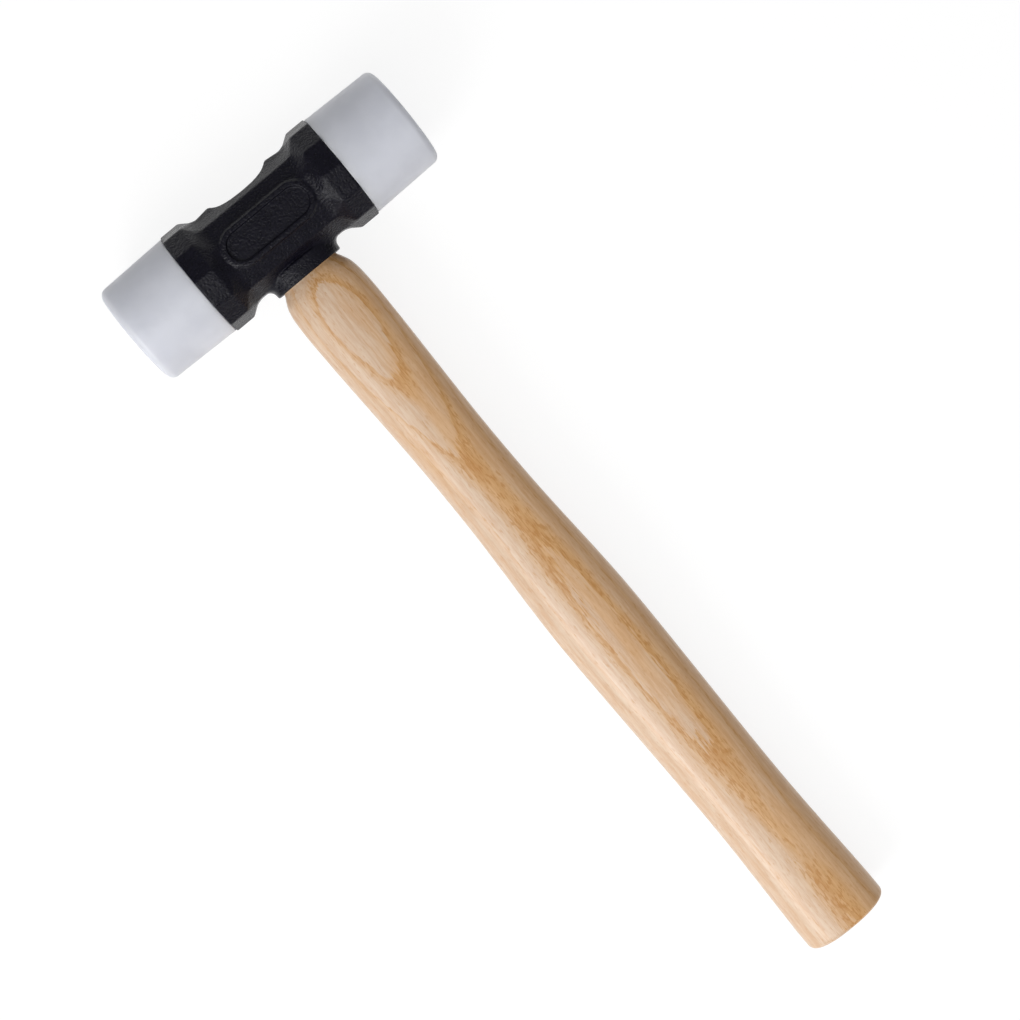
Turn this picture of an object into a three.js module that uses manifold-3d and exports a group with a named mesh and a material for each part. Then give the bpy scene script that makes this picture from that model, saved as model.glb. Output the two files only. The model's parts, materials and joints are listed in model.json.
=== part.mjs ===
// Mallet with two screw-in nylon faces on a cast iron head, wedged on an oval ash handle.
// Millimetres. The mallet lies on its back: X runs along the head, Y up the handle to the head, Z is up.
// Each piece is drawn about the point where the head's axis crosses the handle's axis.

import * as THREE from "three";
import { mergeVertices } from "three/addons/utils/BufferGeometryUtils.js";
import Module from "manifold-3d";

const { clamp, lerp, mapLinear } = THREE.MathUtils;

// Head casting: a twelve-sided waist, and collars turned by half a flat and joined to it by ramps
const headSides = 12;
const waistAcrossFlats = 30.3;
const rampLength = 3.9;
const collarAcrossCorners = 36.1;
const collarLength = 6.8;
const collarChamfer = 0.6;

// Eye: a tapered oval with a lip at each end of its top, a boss round its bottom and a wall to each socket
const eyeTopLength = 22.8;
const eyeTopDepth = 15.2;
const eyeBottomLength = 20.4;
const eyeBottomDepth = 13.2;
const eyeLipLength = 2.4;
const eyeLipLand = 0.5;
const eyeLipHeight = 0.5;
const eyeEndWall = 3.8;
const bossDrop = 3.5;
const bossWall = 1.8;
const bossDraft = 0.25;
const bossFillet = 2.2;
const bossChamfer = 0.4;

// Badge: a raised stadium on the front flat, with a sunk bare field
const badgeEndMargin = 1.8;
const badgeHeight = 12;
const badgeStand = 0.35;
const badgeRim = 1.4;
const badgeSink = 0.55;

// Nylon faces: a tapered drum with a round edge, on a spigot that goes into the head
const faceRootDiameter = 35;
const faceEndDiameter = 33.9;
const faceLength = 24.7;
const faceEdgeRadius = 2.4;
const spigotDiameter = 18;
const spigotLength = 12;
const spigotChamfer = 1;
const spigotClearance = 0.3;
const socketFloorGap = 0.8;

// Handle: lengths between the sections that shape it, from the boss down to the butt
const breakLength = 4.9;
const breakWidth = 24.5;
const breakDepth = 16.6;
const shoulderLength = 10.5;
const shoulderWidth = 26.2;
const shoulderDepth = 18.6;
const neckLength = 56;
const neckWidth = 24.2;
const neckDepth = 17.6;
const bellyLength = 68;
const bellyWidth = 28.4;
const bellyDepth = 20.4;
const gripLength = 70;
const gripWidth = 27;
const gripDepth = 19.8;
const flareLength = 46;
const buttWidth = 29.2;
const buttDepth = 21.2;
const buttLand = 7.4;
const buttRounding = 1.7;

// Wedges: a kerf along the tenon with a wood wedge, and two steel wedges driven across it
const tenonClearance = 0.3;
const tenonRecess = 0.6;
const kerfDepth = 17;
const kerfTopWidth = 4.4;
const kerfBottomWidth = 1.8;
const kerfFootGap = 1;
const wedgeClearance = 0.3;
const wedgeEndGap = 0.6;
const steelWedgeSpacing = 10;
const steelWedgeLength = 11;
const steelWedgeWidth = 8.4;
const steelWedgeTopThickness = 2.2;
const steelWedgeTipThickness = 0.8;

// Facets: points round an oval and a circle, steps between handle sections and on small roundings
const ovalPoints = 40;
const circlePoints = 48;
const sectionSteps = 5;
const roundingSteps = 4;
const ovalPower = 2.3;

// Room that a cutting shape runs past the surface it opens
const cutMargin = 1;

// Places worked out from the sizes above, along the head from its middle and along the handle's axis
const waistApothem = waistAcrossFlats / 2;
const halfFlatAngle = Math.PI / headSides;
const waistRadius = waistApothem / Math.cos(halfFlatAngle);
const collarRadius = collarAcrossCorners / 2;
const socketFloor = eyeTopLength / 2 + eyeEndWall;
const spigotTip = socketFloor + socketFloorGap;
const collarEnd = spigotTip + spigotLength;
const collarStart = collarEnd - collarLength;
const waistEnd = collarStart - rampLength;
const faceEnd = collarEnd + faceLength;
const bossBottom = -waistApothem - bossDrop;
const flatHalfWidth = waistApothem * Math.tan(halfFlatAngle);
const eyeOverhang = Math.max(eyeTopDepth / 2 - flatHalfWidth, 0);
const eyeDip = waistApothem - eyeOverhang * Math.tan(2 * halfFlatAngle);
const tenonTop = eyeDip - tenonRecess;

const wasm = await Module();
wasm.setup();

// Closed BufferGeometry through rings of as many points each, with a fan on each end.
// Rings run counter-clockwise as seen from the far end, so the faces point out.
function loft(rings) {
  const count = rings[0].length;
  const middles = [rings[0], rings[rings.length - 1]].map((ring) =>
    ring.reduce((sum, point) => sum.add(point), new THREE.Vector3()).divideScalar(count),
  );
  const index = [];
  const firstMiddle = rings.length * count;
  const lastRing = firstMiddle - count;
  for (let side = 0; side < count; side += 1) {
    const next = (side + 1) % count;
    for (let start = 0; start < lastRing; start += count) {
      const above = start + count;
      index.push(start + side, start + next, above + side);
      index.push(start + next, above + next, above + side);
    }
    index.push(firstMiddle, next, side);
    index.push(firstMiddle + 1, lastRing + side, lastRing + next);
  }
  const geometry = new THREE.BufferGeometry().setFromPoints([...rings.flat(), ...middles]);
  geometry.setIndex(index);
  return geometry;
}

// Regular polygon across the head's axis, turned by a number of half flats
function polygonRing(x, radius, halfTurns) {
  return Array.from({ length: headSides }, (_, corner) => {
    const angle = (2 * corner + halfTurns) * halfFlatAngle;
    return new THREE.Vector3(x, radius * Math.cos(angle), radius * Math.sin(angle));
  });
}

// Oval across the handle's axis: a superellipse, fuller at its corners than an ellipse
function ovalRing(y, halfLength, halfDepth) {
  const bulge = (value) => Math.sign(value) * Math.abs(value) ** (2 / ovalPower);
  return Array.from({ length: ovalPoints }, (_, step) => {
    const angle = (2 * Math.PI * step) / ovalPoints;
    return new THREE.Vector3(halfLength * bulge(Math.sin(angle)), y, halfDepth * bulge(Math.cos(angle)));
  });
}

// Rectangle across the handle's axis
function slabRing(x, y, halfLength, halfDepth) {
  return [
    new THREE.Vector3(x + halfLength, y, halfDepth),
    new THREE.Vector3(x + halfLength, y, -halfDepth),
    new THREE.Vector3(x - halfLength, y, -halfDepth),
    new THREE.Vector3(x - halfLength, y, halfDepth),
  ];
}

// Stadium outline in the X-Y plane, raised to a slab from one height to another
function stadiumSlab(length, height, bottom, top) {
  const radius = height / 2;
  const reach = length / 2 - radius;
  const outline = new THREE.Shape();
  outline.absarc(reach, 0, radius, -Math.PI / 2, Math.PI / 2, false);
  outline.absarc(-reach, 0, radius, Math.PI / 2, (3 * Math.PI) / 2, false);
  const depth = top - bottom;
  const geometry = new THREE.ExtrudeGeometry(outline, { depth, bevelEnabled: false });
  return geometry.translate(0, 0, bottom);
}

// Turned shape about the head's axis, from points of radius and distance along +X
function turned(profile) {
  return new THREE.LatheGeometry(profile, circlePoints).rotateZ(-Math.PI / 2);
}

// Quarter circle from one direction to the next, as points of radius and distance
function quarterArc(centreRadius, centreReach, radius) {
  return Array.from({ length: roundingSteps + 1 }, (_, step) => {
    const angle = (step / roundingSteps) * (Math.PI / 2);
    return new THREE.Vector2(centreRadius + radius * Math.cos(angle), centreReach + radius * Math.sin(angle));
  });
}

// Geometry to a solid that can be joined and cut, and back
function solidOf(geometry) {
  const bare = geometry.clone();
  bare.deleteAttribute("normal");
  bare.deleteAttribute("uv");
  const merged = mergeVertices(bare);
  return new wasm.Manifold(
    new wasm.Mesh({
      numProp: 3,
      vertProperties: merged.attributes.position.array,
      triVerts: new Uint32Array(merged.index.array),
    }),
  );
}

function geometryOf(solid) {
  const mesh = solid.getMesh();
  const geometry = new THREE.BufferGeometry();
  geometry.setAttribute("position", new THREE.BufferAttribute(mesh.vertProperties, 3));
  geometry.setIndex(new THREE.BufferAttribute(mesh.triVerts, 1));
  return geometry;
}

// Half length and half depth of the eye at a height on the handle's axis
function eyeHalves(y) {
  const rise = (y - bossBottom) / (waistApothem - bossBottom);
  return [
    lerp(eyeBottomLength, eyeTopLength, rise) / 2,
    lerp(eyeBottomDepth, eyeTopDepth, rise) / 2,
  ];
}

// Oval that follows the eye at a height, grown by a margin, or shrunk by one below zero
function eyeRing(y, margin) {
  const [halfLength, halfDepth] = eyeHalves(y);
  return ovalRing(y, halfLength + margin, halfDepth + margin);
}

// Twelve-sided body: collars, ramps of alternate triangles, and the waist
function headBlank() {
  return loft([
    polygonRing(-collarEnd, collarRadius - collarChamfer, 0),
    polygonRing(-collarEnd + collarChamfer, collarRadius, 0),
    polygonRing(-collarStart, collarRadius, 0),
    polygonRing(-waistEnd, waistRadius, 1),
    polygonRing(waistEnd, waistRadius, 1),
    polygonRing(collarStart, collarRadius, 2),
    polygonRing(collarEnd - collarChamfer, collarRadius, 2),
    polygonRing(collarEnd, collarRadius - collarChamfer, 2),
  ]);
}

// Boss under the eye: drafted walls, a chamfered mouth and a fillet out to the waist at its two ends
function eyeBoss() {
  const [halfLength, halfDepth] = eyeHalves(bossBottom).map((half) => half + bossWall);
  const mouthEdge = bossBottom + bossChamfer;
  const filletStart = Math.max(mouthEdge, -waistApothem - bossFillet);
  const ringAt = (y) => {
    const draft = (bossDraft * (y - bossBottom)) / bossDrop;
    const climb = clamp((y + waistApothem + bossFillet) / bossFillet, 0, 1);
    const flare = bossFillet * (1 - Math.sqrt(1 - climb * climb));
    return ovalRing(y, halfLength + draft + flare, halfDepth + draft);
  };
  const rings = [
    ovalRing(bossBottom, halfLength - bossChamfer, halfDepth - bossChamfer),
    ringAt(mouthEdge),
  ];
  for (let step = 1; step <= roundingSteps; step += 1) {
    rings.push(ringAt(lerp(filletStart, -waistApothem, step / roundingSteps)));
  }
  rings.push(ringAt(0));
  return loft(rings);
}

// Lips at the two ends of the eye: a low land on the top flat that slopes down away from the eye
function eyeLips() {
  const eyeEnd = eyeTopLength / 2;
  return loft([
    slabRing(0, 0, eyeEnd + eyeLipLength, flatHalfWidth),
    slabRing(0, waistApothem, eyeEnd + eyeLipLength, flatHalfWidth),
    slabRing(0, waistApothem + eyeLipHeight, eyeEnd + eyeLipLand, flatHalfWidth - eyeLipHeight),
  ]);
}

function headCasting() {
  const badgeTop = waistApothem + badgeStand;
  const badgeLength = 2 * (waistEnd - badgeEndMargin);
  const fieldLength = badgeLength - 2 * badgeRim;
  const fieldHeight = badgeHeight - 2 * badgeRim;
  const badge = stadiumSlab(badgeLength, badgeHeight, 0, badgeTop);
  const field = stadiumSlab(fieldLength, fieldHeight, badgeTop - badgeSink, badgeTop + cutMargin);
  const eye = loft([
    eyeRing(bossBottom - cutMargin, 0),
    eyeRing(waistApothem + eyeLipHeight + cutMargin, 0),
  ]);
  let casting = solidOf(headBlank());
  for (const raised of [eyeBoss(), eyeLips(), badge]) {
    casting = casting.add(solidOf(raised));
  }
  for (const sunk of [field, eye]) {
    casting = casting.subtract(solidOf(sunk));
  }
  const socketRadius = spigotDiameter / 2 + spigotClearance;
  const socket = turned([
    new THREE.Vector2(0, socketFloor),
    new THREE.Vector2(socketRadius, socketFloor),
    new THREE.Vector2(socketRadius, collarEnd + cutMargin),
    new THREE.Vector2(0, collarEnd + cutMargin),
  ]);
  for (const turn of [0, Math.PI]) {
    casting = casting.subtract(solidOf(socket.clone().rotateY(turn)));
  }
  return geometryOf(casting);
}

// Nylon face for the +X end: spigot, shoulder on the collar, tapered drum and flat striking end
function nylonFace() {
  const spigotRadius = spigotDiameter / 2;
  const endRadius = faceEndDiameter / 2;
  return turned([
    new THREE.Vector2(0, spigotTip),
    new THREE.Vector2(spigotRadius - spigotChamfer, spigotTip),
    new THREE.Vector2(spigotRadius, spigotTip + spigotChamfer),
    new THREE.Vector2(spigotRadius, collarEnd),
    new THREE.Vector2(faceRootDiameter / 2, collarEnd),
    ...quarterArc(endRadius - faceEdgeRadius, faceEnd - faceEdgeRadius, faceEdgeRadius),
    new THREE.Vector2(0, faceEnd),
  ]);
}

// Sections of the handle below the boss, as reach down its axis, half width and half depth
function handleSections() {
  const [eyeHalfLength, eyeHalfDepth] = eyeHalves(bossBottom);
  const mouth = new THREE.Vector3(-bossBottom, eyeHalfLength - tenonClearance, eyeHalfDepth - tenonClearance);
  const stations = [
    [breakLength, breakWidth, breakDepth],
    [shoulderLength, shoulderWidth, shoulderDepth],
    [neckLength, neckWidth, neckDepth],
    [bellyLength, bellyWidth, bellyDepth],
    [gripLength, gripWidth, gripDepth],
    [flareLength, buttWidth, buttDepth],
  ];
  const points = [mouth];
  for (const [length, width, depth] of stations) {
    const reach = points[points.length - 1].x + length;
    points.push(new THREE.Vector3(reach, width / 2, depth / 2));
  }
  return points;
}

const sections = handleSections();
const handleReach = sections[sections.length - 1].x + buttLand;

// Section of the kerf along the tenon, or of the wedge in it, narrower by a clearance on each side
function kerfRing(y, halfLength, clearance) {
  const kerfBottom = tenonTop - kerfDepth;
  const width = mapLinear(y, kerfBottom, tenonTop, kerfBottomWidth, kerfTopWidth);
  return slabRing(0, y, halfLength, width / 2 - clearance);
}

// Steel wedge across the tenon at one side, or the slot for it, larger by a clearance all round
function steelWedge(side, clearance, top) {
  const x = (side * steelWedgeSpacing) / 2;
  const tip = tenonTop - steelWedgeLength;
  const ringAt = (y) => {
    const thickness = mapLinear(y, tip, tenonTop, steelWedgeTipThickness, steelWedgeTopThickness);
    return slabRing(x, y, thickness / 2 + clearance, steelWedgeWidth / 2 + clearance);
  };
  return loft([ringAt(tip - clearance), ringAt(top)]);
}

// Cuts the slots of both steel wedges out of a piece of the tenon
function cutSteelSlots(solid) {
  return [-1, 1].reduce(
    (rest, side) => rest.subtract(solidOf(steelWedge(side, wedgeClearance, tenonTop + cutMargin))),
    solid,
  );
}

// Ash handle: rounded butt, sections on a smooth curve, and the tenon with its kerf
function ashHandle() {
  const curve = new THREE.CatmullRomCurve3(sections, false, "centripetal");
  const steps = (sections.length - 1) * sectionSteps;
  const butt = sections[sections.length - 1];
  const end = quarterArc(0, handleReach - buttRounding, buttRounding).reverse();
  const rings = end.map((point) => {
    const inset = buttRounding - point.x;
    return ovalRing(-point.y, butt.y - inset, butt.z - inset);
  });
  for (let step = steps; step >= 0; step -= 1) {
    const section = curve.getPoint(step / steps);
    rings.push(ovalRing(-section.x, section.y, section.z));
  }
  rings.push(eyeRing(tenonTop, -tenonClearance));
  const kerfHalfLength = eyeTopLength / 2 + cutMargin;
  const kerf = loft([
    kerfRing(tenonTop - kerfDepth, kerfHalfLength, 0),
    kerfRing(tenonTop + cutMargin, kerfHalfLength, 0),
  ]);
  return geometryOf(cutSteelSlots(solidOf(loft(rings)).subtract(solidOf(kerf))));
}

// Hardwood wedge that fills the kerf, slit by the steel wedges
function woodWedge() {
  const endInset = tenonClearance + wedgeEndGap;
  const ringAt = (y) => kerfRing(y, eyeHalves(y)[0] - endInset, wedgeClearance);
  const wedge = loft([ringAt(tenonTop - kerfDepth + kerfFootGap), ringAt(tenonTop)]);
  return geometryOf(cutSteelSlots(solidOf(wedge)));
}

function piece(name, geometry, finish) {
  const mesh = new THREE.Mesh(geometry, new THREE.MeshStandardMaterial({ ...finish, flatShading: true }));
  mesh.name = name;
  return mesh;
}

const blackCasting = { color: 0x1c1c20, roughness: 0.55, metalness: 0.2 };
const whiteNylon = { color: 0xd6d9de, roughness: 0.45, metalness: 0 };
const ash = { color: 0xcfa878, roughness: 0.4, metalness: 0 };
const hardwood = { color: 0xb98a58, roughness: 0.6, metalness: 0 };
const steel = { color: 0x8c8f94, roughness: 0.4, metalness: 1 };

// Tool drawn upright about its own axes, then tilted until the collars' back corners and the butt lie level
const tool = new THREE.Group();
const rightFace = piece("right_face", nylonFace(), whiteNylon);
const leftFace = piece("left_face", nylonFace(), whiteNylon);
leftFace.rotation.y = Math.PI;
tool.add(
  piece("head_casting", headCasting(), blackCasting),
  leftFace,
  rightFace,
  piece("handle", ashHandle(), ash),
  piece("wood_wedge", woodWedge(), hardwood),
  piece("left_steel_wedge", steelWedge(-1, 0, tenonTop), steel),
  piece("right_steel_wedge", steelWedge(1, 0, tenonTop), steel),
);
tool.rotation.x = Math.atan2(collarRadius - buttDepth / 2, handleReach - buttRounding);

// Frame: the middle of the tool's box, at the level it lies on
const mallet = new THREE.Group();
mallet.add(tool);
mallet.updateMatrixWorld(true);
const box = new THREE.Box3().setFromObject(tool, true);
const middle = box.getCenter(new THREE.Vector3());
tool.position.set(-middle.x, -middle.y, -box.min.z);

export default mallet;
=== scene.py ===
"""Looks of the mallet: a black cast head, two screw-in nylon faces and a lacquered ash handle.

Every shape is worked out in millimetres on the tool's own axes, where X runs along the head, Y up the
handle and Z out of the badge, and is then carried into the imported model's frame in metres. A span has
the place where a change begins and the place where it is complete.
"""

import json
import logging
import math
from dataclasses import dataclass
from enum import Enum
from typing import Any, Callable, Sequence

import bpy
import numpy as np
from mathutils import Matrix


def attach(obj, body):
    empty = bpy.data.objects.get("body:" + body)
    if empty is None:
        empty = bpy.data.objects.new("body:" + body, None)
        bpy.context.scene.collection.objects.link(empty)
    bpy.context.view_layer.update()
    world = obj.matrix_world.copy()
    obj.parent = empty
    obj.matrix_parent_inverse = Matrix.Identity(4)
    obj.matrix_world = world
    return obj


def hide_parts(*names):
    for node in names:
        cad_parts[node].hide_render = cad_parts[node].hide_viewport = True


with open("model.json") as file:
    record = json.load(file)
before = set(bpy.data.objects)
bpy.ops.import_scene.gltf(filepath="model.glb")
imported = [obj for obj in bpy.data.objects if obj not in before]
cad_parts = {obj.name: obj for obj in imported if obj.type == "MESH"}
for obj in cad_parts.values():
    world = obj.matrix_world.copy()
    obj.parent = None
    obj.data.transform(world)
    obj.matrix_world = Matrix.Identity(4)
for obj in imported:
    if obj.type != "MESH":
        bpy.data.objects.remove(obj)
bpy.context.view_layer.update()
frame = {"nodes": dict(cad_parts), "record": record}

Array = np.ndarray
Span = tuple[float, float]
Triple = tuple[float, float, float]
Colour = Triple

MM = 0.001
PICTURE_SIDE = 1020

log = logging.getLogger("mallet")


class Body(Enum):
    """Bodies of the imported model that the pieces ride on."""

    MALLET = "mallet"
    LEFT_FACE = "left_face"
    RIGHT_FACE = "right_face"


class Slot(Enum):
    """Finishes that the record names."""

    CASTING = "casting"
    NYLON = "nylon"
    ASH = "ash"


class End(Enum):
    """The two ends of the head, as the sign of X."""

    LEFT = -1
    RIGHT = 1


# Frame and meshes


@dataclass(frozen=True)
class ToolFrame:
    """Place of the tool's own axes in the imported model's frame.

    The origin is the middle of the head in metres, and the columns of turn are the tool's axes.
    """

    origin: Array
    turn: Array
    tilt: float

    @classmethod
    def from_record(cls, record: dict[str, Any]) -> "ToolFrame":
        """Reads the place from the mounts: the striking faces give the head, the butt gives the tilt.

        Args:
            record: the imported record.

        Returns:
            The tool's place.
        """
        mounts = {mount["name"]: mount for mount in record["mounts"]}
        ends = [mounts[name]["pos_m"] for name in ("left_striking_face", "right_striking_face")]
        down = np.array(mounts["handle_butt"]["axis"], float)
        tilt = math.atan2(-down[2], -down[1])
        turn = np.array(Matrix.Rotation(tilt, 3, "X"))
        return cls(np.mean(ends, axis=0), turn, tilt)

    def place(self, points: Array) -> Array:
        """Carries points from the tool's axes in millimetres to the frame in metres."""
        return points * MM @ self.turn.T + self.origin

    def fetch(self, points: Array) -> Array:
        """Carries points from the frame in metres to the tool's axes in millimetres."""
        return (points - self.origin) @ self.turn / MM

    def direct(self, directions: Array) -> Array:
        """Turns directions from the tool's axes to the frame."""
        return directions @ self.turn.T

    def matrix(self, axes: Sequence[Array], at: Array) -> Matrix:
        """Matrix of a lamp or camera that stands turned in the frame.

        Args:
            axes: its X, Y and Z directions on the tool's axes.
            at: its place there in millimetres.

        Returns:
            The matrix in the frame.
        """
        stand = np.eye(4)
        stand[:3, :3] = self.direct(np.stack(axes)).T
        stand[:3, 3] = self.place(at)
        return Matrix(stand.tolist())


TOOL = ToolFrame.from_record(frame["record"])


@dataclass(frozen=True)
class Shell:
    """Closed surface on the tool's axes: points in millimetres, and faces of four and three corners."""

    points: Array
    quads: Array
    triangles: Array

    def outward(self) -> "Shell":
        """Turns the faces outwards: the volume under them, summed over triangles, has to be positive.

        Returns:
            This shell, or the same shell with every face reversed.
        """
        halves = [self.quads[:, [0, 1, 2]], self.quads[:, [0, 2, 3]], self.triangles]
        a, b, c = np.moveaxis(self.points[np.concatenate(halves)], 1, 0)
        if np.einsum("ij,ij->", a, np.cross(b, c)) > 0:
            return self
        return Shell(self.points, self.quads[:, ::-1], self.triangles[:, ::-1])

    def turned_to(self, end: End) -> "Shell":
        """Turns the shell half round the handle's axis for the left end: X and Z change sign."""
        return Shell(self.points * np.array([end.value, 1, end.value]), self.quads, self.triangles)


def closed_rings(rings: Array) -> Shell:
    """Closed surface through rings of as many points each, with a fan to the middle of both end rings.

    Point (i, j) is point j of ring i, and a face joins it to (i, j + 1), (i + 1, j + 1) and (i + 1, j).

    Args:
        rings: points by ring, place round the ring and axis.

    Returns:
        The shell, with its faces outwards.
    """
    count, around, _ = rings.shape
    number = np.arange(count * around).reshape(count, around)
    ahead = np.roll(number, -1, axis=1)
    quads = np.stack([number[:-1], ahead[:-1], ahead[1:], number[1:]], axis=-1).reshape(-1, 4)
    middles = rings[[0, -1]].mean(axis=1)
    first, last = count * around, count * around + 1
    fans = [
        np.stack([np.full(around, first), ahead[0], number[0]], axis=-1),
        np.stack([np.full(around, last), number[-1], ahead[-1]], axis=-1),
    ]
    points = np.concatenate([rings.reshape(-1, 3), middles])
    return Shell(points, quads, np.concatenate(fans)).outward()


def linked(name: str, data: bpy.types.ID) -> bpy.types.Object:
    """Makes an object of the given data and links it to the scene."""
    made = bpy.data.objects.new(name, data)
    bpy.context.scene.collection.objects.link(made)
    return made


def make_object(name: str, shell: Shell) -> bpy.types.Object:
    """Puts a shell into a smooth-shaded mesh object at the origin of the frame.

    Args:
        name: the object's name.
        shell: the closed surface, on the tool's axes.

    Returns:
        The linked object.
    """
    mesh = bpy.data.meshes.new(name)
    corners = np.concatenate([shell.quads.ravel(), shell.triangles.ravel()])
    sizes = np.repeat([4, 3], [len(shell.quads), len(shell.triangles)])
    starts = np.cumsum(sizes) - sizes
    mesh.vertices.add(len(shell.points))
    mesh.vertices.foreach_set("co", TOOL.place(shell.points).astype(np.float32).ravel())
    mesh.loops.add(len(corners))
    mesh.loops.foreach_set("vertex_index", corners.astype(np.int32))
    mesh.polygons.add(len(sizes))
    mesh.polygons.foreach_set("loop_start", starts.astype(np.int32))
    mesh.polygons.foreach_set("use_smooth", np.ones(len(sizes), bool))
    mesh.update(calc_edges=True)
    mesh.validate()
    return linked(name, mesh)


def cut_away(piece: bpy.types.Object, cutters: Sequence[bpy.types.Object]) -> None:
    """Cuts solids out of a piece, applies the cuts to its mesh and removes the solids.

    Args:
        piece: the piece that is cut.
        cutters: the solids taken out of it.
    """
    for cutter in cutters:
        step = piece.modifiers.new("cut", "BOOLEAN")
        step.operation = "DIFFERENCE"
        step.solver = "EXACT"
        step.object = cutter
    whole = piece.data
    graph = bpy.context.evaluated_depsgraph_get()
    piece.data = bpy.data.meshes.new_from_object(piece.evaluated_get(graph))
    piece.modifiers.clear()
    piece.data.name = piece.name
    bpy.data.meshes.remove(whole)
    for cutter in cutters:
        bpy.data.meshes.remove(cutter.data)


def add_values(piece: bpy.types.Object, name: str, values: Array) -> None:
    """Keeps one number for each vertex as a named attribute that a material can read."""
    attribute = piece.data.attributes.new(name, "FLOAT", "POINT")
    attribute.data.foreach_set("value", values.astype(np.float32))


def points_of(piece: bpy.types.Object) -> Array:
    """Reads a piece's vertices back on the tool's axes.

    Args:
        piece: a piece at the origin of the frame.

    Returns:
        One row of three millimetres for each vertex.
    """
    flat = np.empty(len(piece.data.vertices) * 3, np.float32)
    piece.data.vertices.foreach_get("co", flat)
    return TOOL.fetch(flat.reshape(-1, 3).astype(float))


def finish_with(mesh: bpy.types.Mesh, finish: bpy.types.Material) -> None:
    """Gives a mesh one finish in place of any that it has."""
    mesh.materials.clear()
    mesh.materials.append(finish)


def enter(piece: bpy.types.Object, body: Body, node: str, finish: bpy.types.Material) -> None:
    """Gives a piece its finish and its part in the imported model, and reports it.

    Args:
        piece: the finished piece.
        body: the body that it moves with.
        node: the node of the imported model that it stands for.
        finish: the material.
    """
    finish_with(piece.data, finish)
    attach(piece, body.value)
    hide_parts(node)
    triangles = sum(len(face.vertices) - 2 for face in piece.data.polygons)
    log.info("%s stands for %s with %d triangles", piece.name, node, triangles)


# Curves and distances

# Least values that keep divisions safe in the middle of an oval and where a field is flat
LEAST_LEVEL = 0.05
LEAST_SLOPE = 0.02
LEAST_SLOPE_SQUARED = 0.05

# How often the points of a level shell slide to the zero level, and the half spans of their slopes in mm
SLIDES = 3
SLIDE_STEP = 0.02
SHADING_STEP = 0.03


def unit(directions: Array) -> Array:
    """Brings directions to a length of 1."""
    return directions / np.linalg.norm(directions, axis=-1, keepdims=True)


def ease(value: Array, start: float, end: float) -> Array:
    """Goes from 0 at start to 1 at end on the smooth step 3t^2 - 2t^3."""
    share = np.clip((value - start) / (end - start), 0, 1)
    return share * share * (3 - 2 * share)


def through_stations(stations: Array, places: Array) -> Array:
    """Smooth curve through stations that doesn't swing past them.

    The slope at a station is the harmonic mean of the slopes on its two sides, or level where these
    point opposite ways, and cubic Hermite pieces join the stations.

    Args:
        stations: rows of a place and one or more values, by rising place.
        places: where the curve is wanted.

    Returns:
        One column of values for each value of a station.
    """
    knots, values = stations[:, 0], stations[:, 1:]
    steps = np.diff(knots)[:, None]
    climbs = np.diff(values, axis=0) / steps
    product = climbs[:-1] * climbs[1:]
    total = climbs[:-1] + climbs[1:]
    inner = np.where(product > 0, 2 * product / np.where(total == 0, 1, total), 0)
    slopes = np.concatenate([climbs[:1], inner, climbs[-1:]])
    held = np.clip(places, knots[0], knots[-1])
    left = np.clip(np.searchsorted(knots, held, side="right") - 1, 0, len(steps) - 1)
    step = steps[left]
    t = (held[:, None] - knots[left][:, None]) / step
    return (
        values[left] * (1 + 2 * t) * (1 - t) ** 2
        + slopes[left] * step * t * (1 - t) ** 2
        + values[left + 1] * t * t * (3 - 2 * t)
        + slopes[left + 1] * step * t * t * (t - 1)
    )


def soft_most(distances: Array, crispness: float) -> Array:
    """Largest of several distances with soft crossings: the logarithm of a sum of exponentials."""
    most = distances.max(axis=0)
    return most + np.log(np.exp(crispness * (distances - most)).sum(axis=0)) / crispness


def shared_by(a: Array, b: Array, radius: float) -> Array:
    """Distance to what two solids share, with its edge rounded to a circular arc of that radius."""
    corner = np.hypot(np.maximum(a + radius, 0), np.maximum(b + radius, 0))
    return np.minimum(np.maximum(a, b), -radius) + corner


def joined(a: Array, b: Array, radius: Array | float) -> Array:
    """Distance to two solids together, with a fillet of that radius along their meeting line."""
    corner = np.hypot(np.maximum(radius - a, 0), np.maximum(radius - b, 0))
    return np.maximum(np.minimum(a, b), radius) - corner


def oval_distance(across: Array, deep: Array, half_width: Array, half_depth: Array, power: float) -> Array:
    """Distance to an oval column: its level |x/a|^p + |z/b|^p, to the power 1/p, less 1, over its slope.

    Args:
        across: distance from the column's axis along X.
        deep: distance from it along Z.
        half_width: half the oval's width.
        half_depth: half its depth.
        power: fullness, where 2 is an ellipse.

    Returns:
        Distances, negative inside.
    """
    u = np.abs(across) / half_width
    v = np.abs(deep) / half_depth
    level = np.maximum((u**power + v**power) ** (1 / power), LEAST_LEVEL)
    slope = np.hypot(u ** (power - 1) / half_width, v ** (power - 1) / half_depth) / level ** (power - 1)
    return (level - 1) / np.maximum(slope, LEAST_SLOPE)


def oval_rings(heights: Array, half_widths: Array, half_depths: Array, around: int, power: float) -> Array:
    """Rings of a column of ovals: X is a sin(t) and Z is b cos(t), each bent to the power 2/p.

    Args:
        heights: place of each ring on the handle's axis.
        half_widths: half its width.
        half_depths: half its depth.
        around: points on a ring.
        power: fullness, where 2 is an ellipse.

    Returns:
        Points by ring, place round the ring and axis.
    """
    turn = np.arange(around) * 2 * np.pi / around
    sine, cosine = np.sin(turn), np.cos(turn)
    wide = np.sign(sine) * np.abs(sine) ** (2 / power)
    deep = np.sign(cosine) * np.abs(cosine) ** (2 / power)
    level = np.broadcast_to(heights[:, None], (len(heights), around))
    return np.stack([half_widths[:, None] * wide, level, half_depths[:, None] * deep], axis=-1)


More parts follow.
